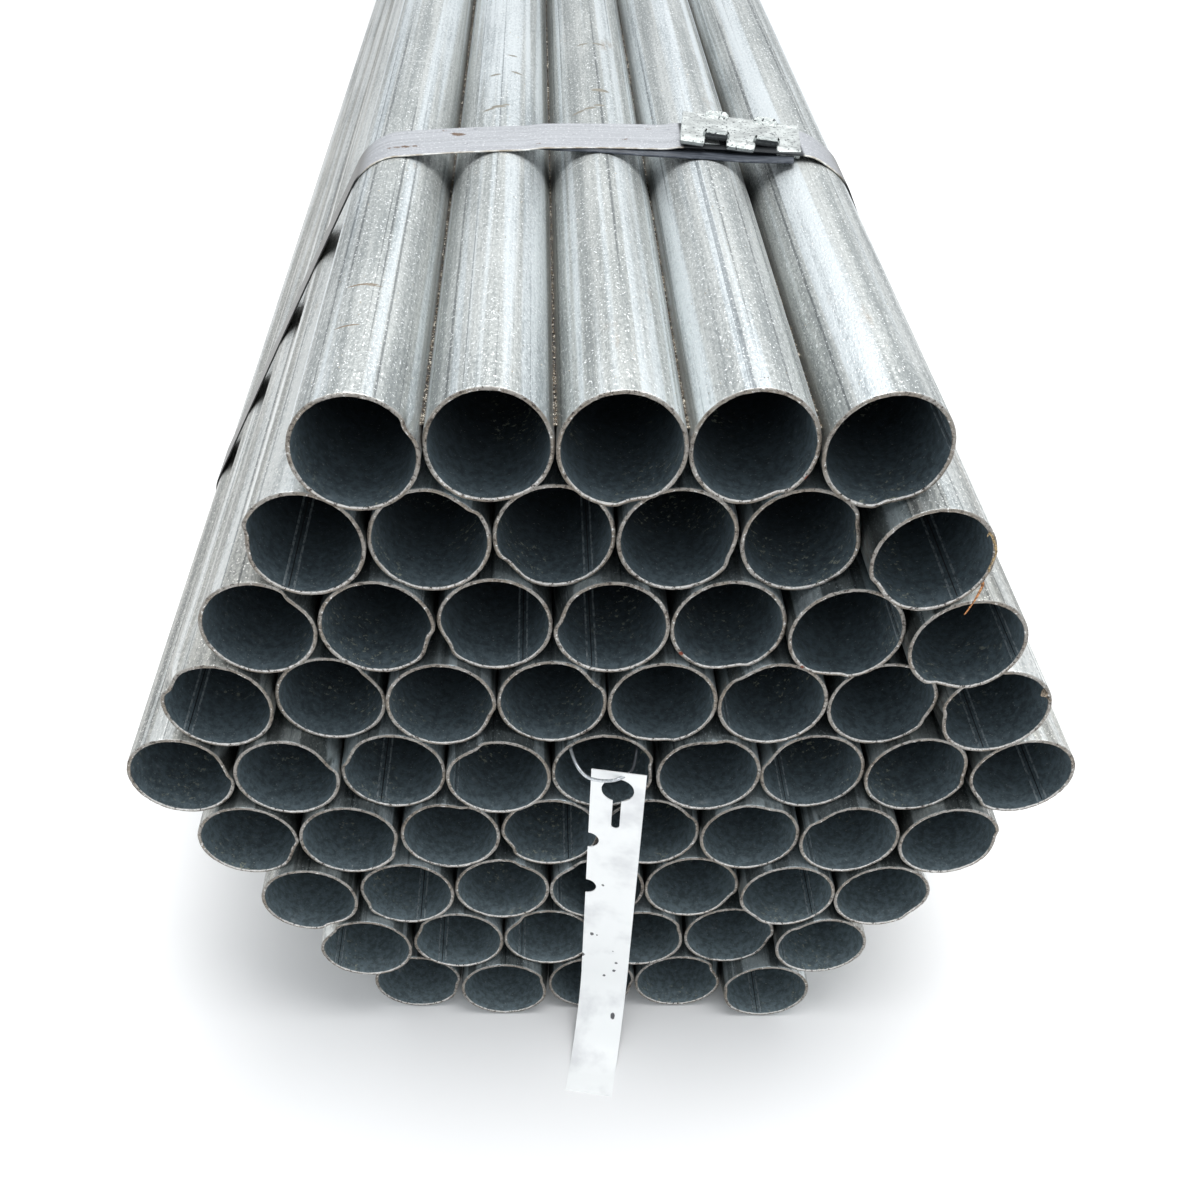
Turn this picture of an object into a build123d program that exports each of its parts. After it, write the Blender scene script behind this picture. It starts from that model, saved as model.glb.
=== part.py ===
from build123d import *
import math
import os

# A hexagonal bundle of galvanised steel tubes, held by flat steel straps with notched seals.
# Millimetres. X to the right, Y along the tubes away from the tagged end, Z up.
# The origin is on the floor, under the middle of the middle strap.

# Tube stock
tube_od = 48.3
tube_wall = 1.65
tube_length = 3048.0
tube_gap = 0.2
tubes_per_side = 5
end_play = 10.0

# Straps and their seals
strap_width = 31.75
strap_thickness = 0.8
strap_clearance = 0.2
strap_inset = 242.0
strap_count = 3
strap_lap_margin = 3.0
strap_ramp_length = 9.0
strap_tail_lead = 66.5
strap_tail_rest = 5.5
strap_tail_shift = 4.5
strap_tail_angle = 10.0
seal_length = 57.0
seal_thickness = 1.0
seal_clearance = 0.1
seal_side_play = 2.6
seal_pitches = 1.3815
seal_corner_radius = 1.7
notch_width = 11.0
notch_depth = 6.0
notch_spacing = 24.0
notch_lift_angle = 38.0

# Tag and the spring wire that holds it
tag_width = 25.4
tag_length = 235.0
tag_thickness = 0.5
tag_bend_radius = 40.0
tag_side = 6.5
tag_play = 1.7
tag_yaw = 10.0
tag_hole_radius = 7.6
tag_hole_margin = 4.5
tag_slot_width = 4.0
tag_slot_length = 24.5
tag_notch_radius = 5.3
tag_notch_places = (45.0, 81.0)
wire_diameter = 1.6
wire_clearance = 0.3
wire_depth = 50.0
wire_left_reach = 13.0
wire_right_reach = 5.0
wire_drop = 13.8
wire_width = 31.0
wire_bend_radius = 11.5
wire_shoulder_radius = 2.5
overrun = 5.0

# How far each tube's near end stands out, as shares of end_play, row by row from the top
end_shares = (
    (0.0, -0.5, -0.3, -0.5, -0.3),
    (-0.3, -0.6, -0.9, -0.7, -0.7, 0.6),
    (-0.3, -0.4, -0.6, -0.4, -0.5, 0.0, 0.7),
    (-0.1, -0.6, -0.2, -0.4, -0.3, -0.3, -0.3, 0.2),
    (0.1, 0.2, -0.2, 0.2, -0.2, 0.0, -0.2, 0.0, 0.1),
    (0.4, 0.4, 0.1, -0.1, -0.1, 0.2, 0.4, 0.5),
    (0.8, 0.4, 0.1, 0.1, 0.0, 0.6, 0.6),
    (0.8, 0.3, 0.1, 0.2, 0.0, 0.7),
    (0.1, 0.6, 0.2, 0.1, 0.8),
)

tube_radius = tube_od / 2
bore_radius = tube_radius - tube_wall
tube_pitch = tube_od + tube_gap
row_rise = tube_pitch * math.sqrt(3) / 2
row_count = 2 * tubes_per_side - 1
bottom_row_height = strap_thickness + strap_clearance + tube_radius
middle_height = bottom_row_height + (tubes_per_side - 1) * row_rise
near_end = -tube_length / 2
strap_reach = tube_radius + strap_clearance
strap_top = middle_height + (tubes_per_side - 1) * row_rise + strap_reach
strap_lift = strap_thickness + seal_thickness + 2 * seal_clearance
seal_centre = seal_pitches * tube_pitch
seal_start = seal_centre - seal_length / 2
seal_end = seal_centre + seal_length / 2
strap_tail_start = seal_start - strap_tail_lead
strap_tail_end = seal_end - strap_tail_rest
seal_inner_height = 2 * strap_thickness + 2 * seal_clearance
seal_inner_width = strap_width + 2 * seal_side_play
seal_outer_height = seal_inner_height + 2 * seal_thickness
seal_outer_width = seal_inner_width + 2 * seal_thickness
seal_place = (seal_centre, 0, strap_top + strap_lift + strap_thickness)
wire_half_width = wire_width / 2
wire_rise = math.sqrt((bore_radius - wire_diameter / 2 - wire_clearance) ** 2 - wire_half_width**2)


def tubes_in_row(row):
    return 2 * tubes_per_side - 1 - abs(row - (tubes_per_side - 1))


def tube_place(row, index):
    """The middle of a tube, row 0 on top and tube 0 on the left."""
    x = (index - (tubes_in_row(row) - 1) / 2) * tube_pitch
    z = middle_height + (tubes_per_side - 1 - row) * row_rise
    return x, -end_shares[row][index] * end_play, z


def make_tube():
    """One straight tube along Y, centred on the origin."""
    turn = Rot(-90, 0, 0)
    return turn * (Cylinder(tube_radius, tube_length) - Cylinder(bore_radius, tube_length + overrun))


def make_row(tube, row):
    return Compound(children=[Pos(*tube_place(row, index)) * tube for index in range(tubes_in_row(row))])


def hexagon_outline(reach):
    """The rounded hexagon at a distance from the six corner tubes' axes, raised over the tail and the seal."""
    corner = (tubes_per_side - 1) * tube_pitch
    outline = offset(RegularPolygon(radius=corner, side_count=6), amount=reach, kind=Kind.ARC)
    shoulder_x = corner / 2
    shoulder_z = (tubes_per_side - 1) * row_rise
    run = shoulder_z + reach
    lean = math.atan2(seal_end - shoulder_x, reach + strap_lift)
    touch = lean + math.acos(reach / math.hypot(seal_end - shoulder_x, reach + strap_lift))
    bump = Polyline(
        (strap_tail_start - strap_ramp_length, shoulder_z),
        (strap_tail_start - strap_ramp_length, run),
        (strap_tail_start, run + strap_thickness),
        (seal_start - strap_ramp_length, run + strap_thickness),
        (seal_start, run + strap_lift),
        (seal_end, run + strap_lift),
        (shoulder_x + reach * math.sin(touch), shoulder_z + reach * math.cos(touch)),
        (shoulder_x, shoulder_z),
        close=True,
    )
    return outline + make_face(bump)


def notch_bites():
    """What the crimping tool shears at each notch, round the seal's own middle."""
    bite = Box(notch_width, notch_depth + overrun, seal_outer_height + overrun)
    reach = seal_outer_width / 2 + (overrun - notch_depth) / 2
    return [
        Pos(place, side * reach, 0) * bite
        for side in (-1, 1)
        for place in (-notch_spacing / 2, notch_spacing / 2)
    ]


def make_strap():
    """A tight band with its ends lapped inside the seal, and a loose tail askew under both."""
    band = hexagon_outline(strap_reach + strap_thickness) - hexagon_outline(strap_reach)
    band = Pos(0, 0, middle_height) * (Plane.XZ * band)
    band = extrude(band, strap_width / 2, both=True, dir=(0, 1, 0))
    above = Align.MIN
    middle = Align.CENTER
    lap = Box(seal_length - 2 * strap_lap_margin, strap_width, strap_thickness, align=(middle, middle, above))
    strap = band + Pos(seal_centre, 0, strap_top + strap_lift + strap_thickness) * lap
    for bite in notch_bites():
        strap -= Pos(*seal_place) * bite
    tail = Box(strap_tail_end - strap_tail_start, strap_width, strap_thickness, align=(middle, middle, above))
    tail_place = Pos((strap_tail_start + strap_tail_end) / 2, -strap_tail_shift, strap_top)
    return strap + tail_place * (Rot(0, 0, -strap_tail_angle) * tail)


def make_seal():
    """A sleeve crimped round both strap layers, with the tabs of four notches turned up."""
    outer = RectangleRounded(seal_outer_width, seal_outer_height, seal_corner_radius)
    inner = Rectangle(seal_inner_width, seal_inner_height)
    seal = extrude(Plane.YZ * (outer - inner), seal_length / 2, both=True)
    for bite in notch_bites():
        seal -= bite
    lift = math.radians(notch_lift_angle)
    hinge = seal_outer_width / 2 - notch_depth
    half = seal_outer_height / 2
    tip = (hinge + notch_depth * math.cos(lift), half + notch_depth * math.sin(lift))
    tab = Polyline(
        (hinge, -half),
        (hinge, half),
        tip,
        (tip[0] + seal_outer_height * math.sin(lift), tip[1] - seal_outer_height * math.cos(lift)),
        close=True,
    )
    tab = extrude(Plane.YZ * make_face(tab), notch_width / 2, both=True)
    for turn in (0, 180):
        for place in (-notch_spacing / 2, notch_spacing / 2):
            seal += Pos(place, 0, 0) * (Rot(0, 0, turn) * tab)
    return Pos(*seal_place) * seal


def make_tag_wire():
    """A springy wire: two legs along the upper wall of the middle tube's bore and a loop in front."""
    x, y, z = tube_place(tubes_per_side - 1, tubes_per_side - 1)
    mouth = near_end + y
    points = (
        (x - wire_half_width, mouth + wire_depth, z + wire_rise),
        (x - wire_half_width, mouth, z + wire_rise),
        (x - wire_half_width, mouth - wire_left_reach, z + wire_rise - wire_drop),
        (x + wire_half_width, mouth - wire_right_reach, z + wire_rise - wire_drop),
        (x + wire_half_width, mouth, z + wire_rise),
        (x + wire_half_width, mouth + wire_depth, z + wire_rise),
    )
    radii = [wire_shoulder_radius, wire_bend_radius, wire_bend_radius, wire_shoulder_radius]
    path = FilletPolyline(*points, radius=radii)
    section = Plane(origin=path @ 0, z_dir=path % 0) * Circle(wire_diameter / 2)
    return sweep(section, path=path)


def make_tag():
    """A thin strip that hangs from the wire by a keyhole and turns out along the floor."""
    x, y, z = tube_place(tubes_per_side - 1, tubes_per_side - 1)
    hole_top = z + wire_rise - wire_drop + wire_diameter / 2 + tag_play
    fall = hole_top + tag_hole_margin - tag_bend_radius - tag_thickness / 2
    foot = tag_length - fall - tag_bend_radius * math.pi / 2
    strip = Pos(0, tag_bend_radius + fall / 2) * Rectangle(tag_thickness, fall)
    bend = Circle(tag_bend_radius + tag_thickness / 2) - Circle(tag_bend_radius - tag_thickness / 2)
    quarter = Rectangle(2 * tag_bend_radius, 2 * tag_bend_radius, align=(Align.MIN, Align.MAX))
    bend = Pos(-tag_bend_radius, tag_bend_radius) * (bend & quarter)
    sole = Pos(-tag_bend_radius - foot / 2, 0) * Rectangle(foot, tag_thickness)
    tag = extrude(Plane.YZ * (strip + bend + sole), tag_width / 2, both=True)
    tag = Pos(0, 0, tag_thickness / 2) * tag
    across = Rot(90, 0, 0)
    hole_z = hole_top - tag_hole_radius
    slot = Box(tag_slot_width, overrun, tag_slot_length, align=(Align.CENTER, Align.CENTER, Align.MAX))
    tag -= Pos(0, 0, hole_z) * across * Cylinder(tag_hole_radius, overrun)
    tag -= Pos(0, 0, hole_z) * slot
    tag -= Pos(0, 0, hole_z - tag_slot_length) * across * Cylinder(tag_slot_width / 2, overrun)
    for place in tag_notch_places:
        bite = across * Cylinder(tag_notch_radius, overrun)
        tag -= Pos(-tag_width / 2, 0, hole_top - place) * bite
    crossing = (tag_side + wire_half_width) / (2 * wire_half_width)
    reach = wire_left_reach + (wire_right_reach - wire_left_reach) * crossing
    return Pos(x + tag_side, near_end + y - reach, 0) * Rot(0, 0, -tag_yaw) * tag


tube = make_tube()
straps_span = tube_length - 2 * strap_inset
strap = make_strap()
seal = make_seal()

parts = {}
for row in range(row_count):
    parts[f"pipes_row_{row + 1}"] = make_row(tube, row)
for number in range(strap_count):
    place = Pos(0, near_end + strap_inset + straps_span * number / (strap_count - 1), 0)
    parts[f"strap_{number + 1}"] = place * strap
    parts[f"strap_seal_{number + 1}"] = place * seal
parts["tag_wire"] = make_tag_wire()
parts["tag"] = make_tag()

os.makedirs("parts", exist_ok=True)
for name, shape in parts.items():
    export_step(shape, f"parts/{name}.step")
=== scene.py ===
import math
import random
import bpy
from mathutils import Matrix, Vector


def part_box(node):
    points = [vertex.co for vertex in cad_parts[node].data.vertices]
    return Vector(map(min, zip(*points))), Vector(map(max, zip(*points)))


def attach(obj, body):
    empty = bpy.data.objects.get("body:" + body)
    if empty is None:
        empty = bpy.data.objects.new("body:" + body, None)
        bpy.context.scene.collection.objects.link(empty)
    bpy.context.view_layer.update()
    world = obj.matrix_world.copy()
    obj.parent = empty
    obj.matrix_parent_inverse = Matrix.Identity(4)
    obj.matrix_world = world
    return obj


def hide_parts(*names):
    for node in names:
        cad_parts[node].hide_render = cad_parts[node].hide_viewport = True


bl_info = {
    "name": "Bundle of Steel Pipes",
    "version": (1, 0, 0),
    "blender": (4, 5, 0),
    "location": "View3D > Sidebar > Pipe Bundle",
    "description": "Strapped hexagonal bundle of galvanised pipes with a hanging tag",
    "category": "Object",
}

import bmesh
import bpy
from bpy.props import FloatProperty, FloatVectorProperty, IntProperty, PointerProperty
from mathutils import Matrix, Vector, noise

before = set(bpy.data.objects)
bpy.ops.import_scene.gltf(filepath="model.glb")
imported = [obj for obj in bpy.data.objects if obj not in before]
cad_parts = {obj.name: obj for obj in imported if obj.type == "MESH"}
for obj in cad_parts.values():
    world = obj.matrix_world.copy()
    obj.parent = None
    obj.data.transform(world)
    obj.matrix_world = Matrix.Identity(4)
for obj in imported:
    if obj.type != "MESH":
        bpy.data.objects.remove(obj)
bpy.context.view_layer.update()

ROWS = 9
MM = 0.001
STRAP_UV = "along_and_across"

# Steps between the nodes of a material in the node editor
NODE_COLUMN = 200
NODE_ROW = 220

# How far from the middle the bores are painted dark as shade, and where their paler mouths begin, in metres
BORE_DARK = 1.455
BORE_PALE = 1.522

# Material slots of a pipe, of a strap and of the litter
RIM_OUTER, BORE, GROOVE, RIM_INNER, RIDGE = 1, 2, 3, 4, 5
TAIL = 2
TAN_GRIT, PALE_GRIT, STRAW, CURL, SILT_AND_SHADE = range(5)

# Heights between which the straps' bow grows, in metres
BOW_HEIGHTS = (0.20, 0.33)

# How softly a mark ends, in mm
MARK_EDGE = 0.2

# How far in a cut rim is ragged, in metres, the share that a tear takes, and how fine burrs and tears are
RIM_DEPTH = 0.5 * MM
TEAR_SHARE = 0.011
BURR_FINENESS = 600
TEAR_FINENESS = 900

# Grains of sand in a furrow and of dust on the pipes, and how far from the pipes' ends they start, in metres
FURROW_GRAINS = 1500
DUST_GRAINS = 420
GRAIN_START = 0.012

# The bed of sand in a furrow: its start and step length, in metres, and its steps
BED_START = 0.014
BED_STEP = 0.0034
BED_STEPS = 260

# Steps along the strap's loose tail
TAIL_STEPS = 40

# How much of the first strap's slip each strap shows
STRAP_SLIPS = {1: 1.0, 2: 0.4, 3: -0.7}

# Edges bent less than this look smooth, and how far a sheet's cut edge bulges, by its thickness
SMOOTH_BELOW = math.radians(38)
EDGE_BULGE = 0.35

# Rings cut into a pipe for its dent, by the dent's reach, and how sharply it ends round the rim and inwards
DENT_CUTS = (0.06, 0.13, 0.22, 0.33, 0.46, 0.62, 0.8, 1.0, 1.5)
DENT_ROUND = 2.4
DENT_INWARDS = 1.6

# How far in from a pipe's ends its weld bead begins, in metres
WELD_INSET = 1.2 * MM

# The floor's reach from the middle, in metres
FLOOR_REACH = 30

# The top row's dents seen closest: degrees from the right, depth in mm, degrees it fades over on each side
TOP_DENTS = ((28, 1.5, 13, 7), (277, 1.0, 26, 27), (283, 2.1, 12, 17), (300, 2.0, 26, 7), (281, 2.0, 9, 26))

# Brown rings where rusty water dried on the first top pipe: place and half length, in mm
RING_MARKS = ((-99.3, -1439.4, 385.0, 6.4), (-102.0, -1473.4, 384.7, 5.0), (-94.5, -1440.6, 385.2, 3.0))

# Grey-brown scuffs across the top pipes beyond the strap: place and half length, in mm
SCUFF_MARKS = (
    (-55.5, -1235.6, 384.6, 3.0), (-50.5, -1233.4, 385.3, 3.9), (-46.6, -1230.8, 385.4, 2.0),
    (-9.5, -1235.4, 383.6, 3.2), (-3.9, -1233.8, 385.2, 3.2), (1.2, -1230.4, 385.4, 2.8),
    (2.5, -1206.8, 385.3, 4.8), (-53.5, -1182.4, 385.2, 3.0), (-41.8, -1177.2, 384.8, 3.0),
    (-4.8, -1126.8, 385.2, 3.0), (4.5, -1126.0, 385.0, 3.2), (-44.5, -1149.6, 385.2, 2.6),
)

# Dirt specks on the tag: place and radius, in mm
TAG_SPECKS = (
    (2.5, 0, 117.8, 0.5), (-1.6, 0, 75.3, 1.1), (1.2, 0, 75.0, 0.4), (10.1, 0, 62.2, 0.5),
    (12.3, 0, 51.9, 0.7), (11.5, 0, 44.3, 0.9), (6.3, 0, 38.5, 0.7), (-6.3, 0, 55.5, 1.4),
    (-6.9, 0, 39.6, 0.9), (11.8, 0, 14.5, 1.2),
)

# Rust on the first strap's top side: place and radius, in mm
STRAP_RUST = (
    (-69.0, -1277.5, 0, 1.9), (-70.5, -1276.5, 0, 1.2), (-97.5, -1295.2, 0, 0.9), (-93.5, -1294.4, 0, 1.3),
    (-89.0, -1293.6, 0, 0.9), (-100.8, -1295.6, 0, 0.5), (-76.2, -1272.3, 0, 0.5), (12.0, -1284.0, 0, 0.6),
    (24.0, -1270.0, 0, 0.5), (-30.0, -1290.5, 0, 0.5),
)

# Rust on the cut rims: place and radius, in mm
RIM_RUST = ((69.9, 0, 348.8, 1.5), (71.4, 0, 350.0, 0.9), (30.2, 0, 263.2, 1.1), (81.1, 0, 259.9, 0.9))

# Turns of some welds beyond their usual place, in degrees, by row and pipe
WELD_TURNS = {(0, 4): 6, (1, 0): -7, (1, 2): 9, (1, 5): 6, (2, 2): 5, (2, 6): 12, (3, 0): -14}

# The wire's route from the left side of the middle bore, round through the tag and back, in mm
WIRE_ROUTE = (
    (-15.8, 46.0, 14.3), (-15.8, 14.0, 14.3), (-15.4, 4.0, 14.4), (-12.4, -5.0, 12.2), (-7.4, -8.6, 8.8),
    (0.8, -7.3, 5.4), (7.2, -5.2, 4.9), (12.2, -2.2, 7.0), (14.2, 2.5, 12.0), (15.0, 12.0, 15.0),
    (15.0, 46.0, 15.0),
)

# Where each pipe's sheared end is pressed in, in degrees from the right, row by row from the top
DENT_ANGLES = (
    (40, 276, 284, 295, 277),
    (170, 45, 216, 341, 19, 213),
    (46, 345, 207, 167, 286, 270, 250),
    (150, 41, 343, 34, 275, 131, 340, 185),
    (5, 23, 160, 120, 7, 90, 160, 357, 223),
    (343, 344, 75, 210, 36, 70, 138, 8),
    (290, 200, 62, 128, 338, 230, 320),
    (137, 155, 140, 20, 350, 130),
    (352, 17, 355, 30, 180),
)


def metres(name, description, default):
    """A size in metres."""
    return FloatProperty(name=name, description=description, default=default, precision=5, unit="LENGTH")


def degrees(name, description, default):
    """An angle given in degrees."""
    return FloatProperty(name=name, description=description, default=math.radians(default), subtype="ANGLE")


def tint(name, description, default):
    """A linear colour."""
    return FloatVectorProperty(name=name, description=description, default=default, subtype="COLOR")


class PipeSizes(bpy.types.PropertyGroup):
    """Sizes of the pipes and of their cut ends"""

    outside: metres("Outside Diameter", "Outside diameter of a pipe", 0.0483)
    wall: metres("Wall", "Wall thickness of a pipe", 0.00165)
    pitch: metres("Pitch", "Distance between neighbouring pipes", 0.0485)
    segments: IntProperty(name="Segments", description="Steps round a pipe", default=96, min=24, max=128)
    dent: metres("Shear Dent", "Depth of the dent at a cut end", 0.0019)
    dent_reach: metres("Dent Reach", "How far a dent runs along the pipe", 0.014)
    burr: metres("Burr", "Unevenness of the cut rim", 0.0005)
    weld: metres("Weld Bead", "Width of the weld bead in the bore", 0.0056)


class StrapSizes(bpy.types.PropertyGroup):
    """Sizes of the straps and of their seals"""

    width: metres("Width", "Width of a strap", 0.03175)
    thickness: metres("Thickness", "Thickness of a strap", 0.0008)
    clearance: metres("Clearance", "Gap between a strap and the pipes", 0.0002)
    bow: metres("Bow", "How far a strap slipped forward at the shoulders", 0.0118)
    crown: metres("Crown", "How far a strap slipped back in the middle of its top", 0.0032)
    shoulder: metres("Shoulder", "Where the shoulders lie, out from the middle", 0.112)
    shoulder_fade: metres("Shoulder Fade", "How softly the bow ends beyond a shoulder", 0.030)
    tail_lead: metres("Tail Lead", "Length of the loose tail ahead of the seal", 0.0665)
    tail_rest: metres("Tail Rest", "How far the tail stops short of the seal's end", 0.003)
    tail_shift: metres("Tail Shift", "How far the tail lies ahead of the strap", 0.0045)
    tail_turn: degrees("Tail Turn", "How far the tail lies askew", 8.5)
    lift: metres("Lift", "Rise of the strap over the tail and into the seal", 0.002)
    ramp: metres("Ramp", "Length of that rise", 0.009)
    seal_width: metres("Seal Width", "Width of a seal", 0.039)
    seal_steel: metres("Seal Steel", "Thickness of a seal's steel", 0.001)
    seal_turn: degrees("Seal Turn", "How far the seal lies askew", 6.5)
    seal_shift: metres("Seal Shift", "How far the seal lies behind the strap's middle", 0.0008)
    seal_slip: metres("Seal Slip", "How far the seal slid towards the shoulder", 0.0006)
    seal_dip: degrees("Seal Dip", "How far the seal tips over the shoulder", 4.2)
    notch: metres("Notch", "Width of a notch", 0.011)
    notch_depth: metres("Notch Depth", "How far a notch runs in from the seal's edge", 0.006)
    notch_spacing: metres("Notch Spacing", "Distance between a seal's notches", 0.024)


class FinishColours(bpy.types.PropertyGroup):
    """Colours of the steel, dirt and plastic"""

    zinc: tint("Zinc", "Bright galvanised surface", (0.80, 0.85, 0.865))
    zinc_shade: tint("Zinc Streak", "Darker streaks of the galvanised surface", (0.33, 0.365, 0.38))
    bore: tint("Bore", "Inside of the pipes", (0.132, 0.178, 0.203))
    rim: tint("Cut Rim", "Sheared steel of the pipe ends", (0.20, 0.175, 0.145))
    stain: tint("Stain", "Brownish stains and rust", (0.33, 0.24, 0.16))
    strap: tint("Strap", "Zinc grey of the straps", (0.40, 0.412, 0.435))
    tag: tint("Tag", "White plastic of the tag", (0.91, 0.925, 0.92))


class StageSettings(bpy.types.PropertyGroup):
    """Camera, floor and lights"""

    camera_place: FloatVectorProperty(
        name="Camera Place", description="Place of the camera", default=(-0.0315, -1.9038, 0.5959),
        subtype="XYZ", unit="LENGTH",
    )
    pitch: degrees("Pitch", "Angle below the horizon", 46.30)
    yaw: degrees("Yaw", "Turn to the right", 1.50)
    roll: degrees("Roll", "Lean of the camera", 1.10)
    lens: FloatProperty(name="Lens", description="Focal length in millimetres", default=35.99)
    shift_x: FloatProperty(name="Shift Across", description="Shift of the lens across", default=0.0357)
    shift_y: FloatProperty(name="Shift Up", description="Shift of the lens upwards", default=0.140)
    floor: tint("Floor", "Colour of the floor", (0.86, 0.86, 0.86))
    key: FloatProperty(
        name="Key Light", description="Power of the overhead light", default=118.0, unit="POWER",
    )
    fill: FloatProperty(name="Fill Light", description="Power of the front light", default=12.0, unit="POWER")
    sky: FloatProperty(name="Sky", description="Strength of the surrounding light", default=0.68)


def placed(bm, name, materials):
    """Turns a bmesh into an object of the scene."""
    mesh = bpy.data.meshes.new(name)
    bm.to_mesh(mesh)
    bm.free()
    for material in materials:
        mesh.materials.append(material)
    piece = bpy.data.objects.new(name, mesh)
    bpy.context.scene.collection.objects.link(piece)
    return piece


def finished(bm, name, materials, nodes):
    """Turns a bmesh into a piece that rides on the bundle and stands for its CAD nodes."""
    piece = placed(bm, name, materials)
    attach(piece, "root")
    if nodes:
        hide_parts(*nodes)


class Paint:
    """Grows a node tree from sockets and plain values, and holds its base colour so far."""

    def __init__(self, tree, material=None, base=None):
        self.tree = tree
        self.material = material
        self.base = base
        self.columns = {}
        self.object_place = None

    def add(self, kind, values, **settings):
        """Adds a node to the right of what feeds it, with its settings, then its inputs by name or number."""
        node = self.tree.nodes.new(kind)
        for key, value in settings.items():
            setattr(node, key, value)
        column = 0
        for key, value in values.items():
            socket = node.inputs[key]
            if isinstance(value, bpy.types.NodeSocket):
                self.tree.links.new(value, socket)
                column = max(column, 1 + self.columns[value.node.name])
            else:
                socket.default_value = (*value, 1.0) if socket.type == "RGBA" else value
        above = list(self.columns.values()).count(column)
        node.location = (NODE_COLUMN * column, -NODE_ROW * above)
        self.columns[node.name] = column
        return node

    def here(self):
        """The place in the object's own coordinates."""
        if self.object_place is None:
            self.object_place = self.add("ShaderNodeTexCoord", {}).outputs["Object"]
        return self.object_place

    def split(self, vector):
        """The parts X, Y and Z of a vector."""
        return self.add("ShaderNodeSeparateXYZ", {"Vector": vector}).outputs

    def facing(self):
        """How far the surface faces up."""
        return self.split(self.add("ShaderNodeNewGeometry", {}).outputs["Normal"])["Z"]

    def attribute(self, name):
        """A value that the mesh carries."""
        return self.add("ShaderNodeAttribute", {}, attribute_name=name).outputs["Fac"]

    def math(self, operation, *values):
        """One to three values brought together."""
        return self.add("ShaderNodeMath", dict(enumerate(values)), operation=operation).outputs[0]

    def total(self, *parts):
        """Adds values, each with its weight."""
        so_far = 0.0
        for value, weight in parts:
            so_far = self.math("MULTIPLY_ADD", value, weight, so_far)
        return so_far

    def ramp(self, value, low, high):
        """A smooth step between two levels of a value."""
        values = {"Value": value, "From Min": low, "From Max": high}
        return self.add("ShaderNodeMapRange", values, interpolation_type="SMOOTHSTEP").outputs["Result"]

    def blend(self, share, first, second, mode="MIX"):
        """Mixes two colours by a share."""
        values = {0: share, 6: first, 7: second}
        return self.add("ShaderNodeMix", values, data_type="RGBA", blend_type=mode).outputs[2]

    def lay(self, share, colour, mode="MIX"):
        """Lays a colour over the base by a share."""
        self.base = self.blend(share, self.base, colour, mode)

    def layer(self, value, low, high, colour, mode="MIX"):
        """Lays a colour over the base where a value passes from one level to another."""
        self.lay(self.ramp(value, low, high), colour, mode)

    def stretch(self, vector, scale):
        """Scales a vector, to draw a pattern out along one axis."""
        return self.add("ShaderNodeMapping", {"Vector": vector, "Scale": scale}).outputs["Vector"]

    def cloud(self, vector, scale, detail=3.0, roughness=0.55):
        """A noise pattern, drawn out along an axis where its scale has three parts."""
        if isinstance(scale, tuple):
            vector, scale = self.stretch(vector, scale), 1.0
        values = {"Vector": vector, "Scale": scale, "Detail": detail, "Roughness": roughness}
        return self.add("ShaderNodeTexNoise", values).outputs["Fac"]

    def strap_cloud(self, scale, detail=3.0, roughness=0.55):
        """A noise pattern along and across a strap, in metres, from its own UV map."""
        where = self.add("ShaderNodeUVMap", {}, uv_map=STRAP_UV).outputs["UV"]
        return self.cloud(where, scale, detail, roughness)

    def weathered(self, streak, grain, stain):
        """The outputs of the weathering pattern, on the object's own coordinates."""
        values = {"Vector": self.here(), "Streak Scale": streak, "Grain Scale": grain, "Stain Level": stain}
        return self.add("ShaderNodeGroup", values, node_tree=weathering_group()).outputs

    def mark(self, marks, colour, stretch, raggedness, fineness=480.0):
        """Lays dark or rusty marks over the base, each at a place with a radius, in mm."""
        ragged = self.cloud(self.here(), fineness, 3.0, 0.65)
        for x, y, z, size in marks:
            values = {0: self.here(), 1: (x * MM, y * MM, z * MM)}
            off = self.add("ShaderNodeVectorMath", values, operation="SUBTRACT").outputs[0]
            values = {0: self.stretch(off, stretch)}
            far = self.add("ShaderNodeVectorMath", values, operation="LENGTH").outputs["Value"]
            rough = self.math("MULTIPLY_ADD", ragged, raggedness * MM, far)
            edge = size + raggedness / 2
            self.layer(rough, (edge + MARK_EDGE) * MM, (edge - MARK_EDGE) * MM, colour)

    def surface(self, metallic, roughness, bump=None):
        """Ends a material with its shader. A bump is a height, a distance and a strength."""
        values = {"Base Color": self.base, "Metallic": metallic, "Roughness": roughness}
        if bump:
            raised = self.add("ShaderNodeBump", dict(zip(("Height", "Distance", "Strength"), bump)))
            values["Normal"] = raised.outputs["Normal"]
        shader = self.add("ShaderNodeBsdfPrincipled", values)
        self.add("ShaderNodeOutputMaterial", {"Surface": shader.outputs["BSDF"]})
        return self.material


def new_paint(name, base):
    """The builder of a new material, with the colour that its layers lie on."""
    material = bpy.data.materials.new(name)
    material.use_nodes = True
    material.node_tree.nodes.clear()
    return Paint(material.node_tree, material, base)


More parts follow.
